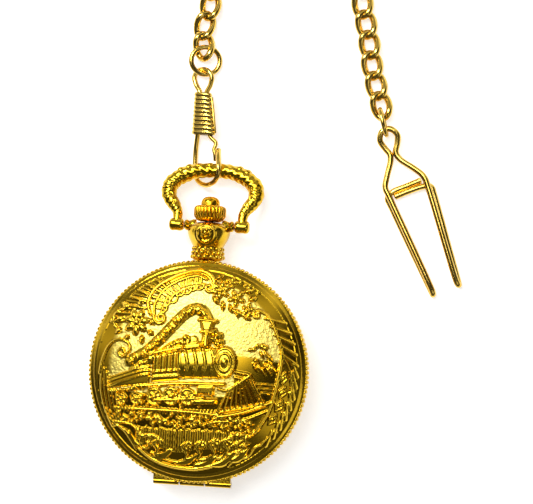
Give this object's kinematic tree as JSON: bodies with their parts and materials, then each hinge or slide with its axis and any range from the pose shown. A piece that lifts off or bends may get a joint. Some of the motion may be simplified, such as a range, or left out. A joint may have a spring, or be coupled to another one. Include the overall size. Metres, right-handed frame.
{
  "type": "pocket watch",
  "caption": "Hunter-case pocket watch with an embossed hinged cover, stirrup bow, snap-hook curb chain and a bent-wire waistcoat clip.",
  "frame": {"origin": "centre of the flat that the back cover rests on, on the case's own axis", "axes": "+Z out through the front cover, +Y towards the crown and bow, +X to the right with the cover facing the viewer; the cover's hinge is on the -Y side"},
  "size_m": [0.0779, 0.1556, 0.0144],
  "materials": {
    "gold_plate": "polished gold plating",
    "steel": "bright",
    "movement_brass": "satin",
    "crystal_glass": "clear",
    "dial_enamel": "satin white",
    "holder_plastic": "moulded",
    "board_green": "printed circuit board",
    "copper_wire": "enamelled winding",
    "hand_black": "gloss black"
  },
  "bodies": {
    "case": {"mid_case": "gold_plate", "back_cover": "gold_plate", "pendant": "gold_plate", "hinge_pin": "steel", "lift_spring": "steel", "bow_screw_left": "steel", "bow_screw_right": "steel", "bezel": "gold_plate", "crystal": "crystal_glass", "dial": "dial_enamel", "movement_holder": "holder_plastic", "main_plate": "movement_brass", "train_bridge": "movement_brass", "bridge_screw_1": "steel", "bridge_screw_2": "steel", "battery": "steel", "battery_clamp": "steel", "circuit_board": "board_green", "drive_coil": "copper_wire", "stator": "steel"},
    "cover": {"front_cover": "gold_plate"},
    "latch": {"latch_spring": "steel"},
    "lever": {"setting_lever": "steel"},
    "crown": {"crown": "gold_plate", "setting_stem": "steel"},
    "button": {"push_button": "gold_plate", "push_rod": "steel"},
    "minute": {"centre_wheel": "movement_brass", "minute_hand": "hand_black"},
    "hour": {"hour_wheel": "movement_brass", "hour_hand": "hand_black"},
    "second": {"seconds_wheel": "movement_brass", "second_hand": "hand_black"},
    "motion_work": {"minute_wheel": "movement_brass"},
    "third": {"third_wheel": "movement_brass"},
    "fifth": {"fifth_wheel": "movement_brass"},
    "rotor": {"rotor": "movement_brass"},
    "bow": {"bow": "gold_plate"},
    "clasp": {"clasp_hook": "gold_plate", "clasp_sleeve": "gold_plate"},
    "gate": {"clasp_gate": "gold_plate"},
    "jump_ring": {"jump_ring": "gold_plate"},
    "chain": {"chain_watch_end": "gold_plate", "chain_coil": "gold_plate", "chain_clip_end": "gold_plate"},
    "clip_ring": {"clip_ring": "gold_plate"},
    "clip": {"vest_clip": "gold_plate"}
  },
  "joints": [
    {"name": "cover_hinge", "type": "hinge", "parent": "case", "child": "cover", "pos_m": [0, -0.0236, 0.009], "axis": [1, 0, 0], "range_deg": [0, 95]},
    {"name": "crown_pull", "type": "slide", "parent": "case", "child": "lever", "axis": [0, 1, 0], "range_m": [0, 0.001]},
    {"name": "crown_turn", "type": "hinge", "parent": "lever", "child": "crown", "pos_m": [0, 0.034, 0.006], "axis": [0, 1, 0], "continuous": true},
    {"name": "button_press", "type": "slide", "parent": "crown", "child": "button", "axis": [0, -1, 0], "range_m": [0, 0.0008], "stiffness_N_per_m": 2000},
    {"name": "latch_flex", "type": "hinge", "parent": "case", "child": "latch", "pos_m": [-0.01108, 0.01772, 0.006], "axis": [0, 0, -1], "range_deg": [0, 2.6]},
    {"name": "minute_turn", "type": "hinge", "parent": "case", "child": "minute", "pos_m": [0, 0, 0.0087], "axis": [0, 0, -1], "continuous": true},
    {"name": "hour_turn", "type": "hinge", "parent": "case", "child": "hour", "pos_m": [0, 0, 0.0083], "axis": [0, 0, -1], "continuous": true},
    {"name": "second_turn", "type": "hinge", "parent": "case", "child": "second", "pos_m": [0, 0, 0.0091], "axis": [0, 0, -1], "continuous": true},
    {"name": "minute_wheel_turn", "type": "hinge", "parent": "case", "child": "motion_work", "pos_m": [-0.0015, 0.00191, 0.0072], "axis": [0, 0, -1], "continuous": true},
    {"name": "third_wheel_turn", "type": "hinge", "parent": "case", "child": "third", "pos_m": [0.0009, 0.00331, 0.0036], "axis": [0, 0, -1], "continuous": true},
    {"name": "fifth_wheel_turn", "type": "hinge", "parent": "case", "child": "fifth", "pos_m": [0.0034, -0.0035, 0.0024], "axis": [0, 0, -1], "continuous": true},
    {"name": "rotor_turn", "type": "hinge", "parent": "case", "child": "rotor", "pos_m": [0.0054, -0.00525, 0.0036], "axis": [0, 0, -1], "continuous": true},
    {"name": "bow_swing", "type": "hinge", "parent": "case", "child": "bow", "pos_m": [0, 0.0314, 0.006], "axis": [1, 0, 0], "range_deg": [-68, 103]},
    {"name": "clasp_swing", "type": "hinge", "parent": "bow", "child": "clasp", "pos_m": [-0.001, 0.0435, 0.0031], "axis": [-1, 0, 0], "range_deg": [-100, 15]},
    {"name": "gate_flex", "type": "hinge", "parent": "clasp", "child": "gate", "pos_m": [-0.0025, 0.0563, 0.002], "axis": [0.225, 0, -0.9744], "range_deg": [0, 8], "stiffness_Nm_per_rad": 0.05},
    {"name": "jump_ring_swing", "type": "hinge", "parent": "clasp", "child": "jump_ring", "pos_m": [-0.0039, 0.0652, 0.00155], "axis": [1, 0, 0], "range_deg": [-10, 25]},
    {"name": "chain_swing", "type": "hinge", "parent": "jump_ring", "child": "chain", "pos_m": [-0.0042, 0.0707, 0.0013], "axis": [0, 0, 1], "range_deg": [-12, 12]},
    {"name": "clip_ring_swing", "type": "hinge", "parent": "chain", "child": "clip_ring", "pos_m": [0.0355, 0.0579, 0.0019], "axis": [0.96, 0.28, 0], "range_deg": [-20, 45]},
    {"name": "clip_swing", "type": "hinge", "parent": "clip_ring", "child": "clip", "pos_m": [0.0366, 0.05414, 0.0024], "axis": [0.9178, 0.3969, 0], "range_deg": [-20, 60]}
  ],
  "couplings": [
    {"joint": "latch_flex", "follows": "button_press", "rad_per_m": 56},
    {"joint": "hour_turn", "follows": "minute_turn", "ratio": 0.083333},
    {"joint": "minute_wheel_turn", "follows": "minute_turn", "ratio": -0.33333},
    {"joint": "third_wheel_turn", "follows": "minute_turn", "ratio": -7.5},
    {"joint": "second_turn", "follows": "minute_turn", "ratio": 60},
    {"joint": "fifth_wheel_turn", "follows": "minute_turn", "ratio": -360},
    {"joint": "rotor_turn", "follows": "minute_turn", "ratio": 1800}
  ]
}
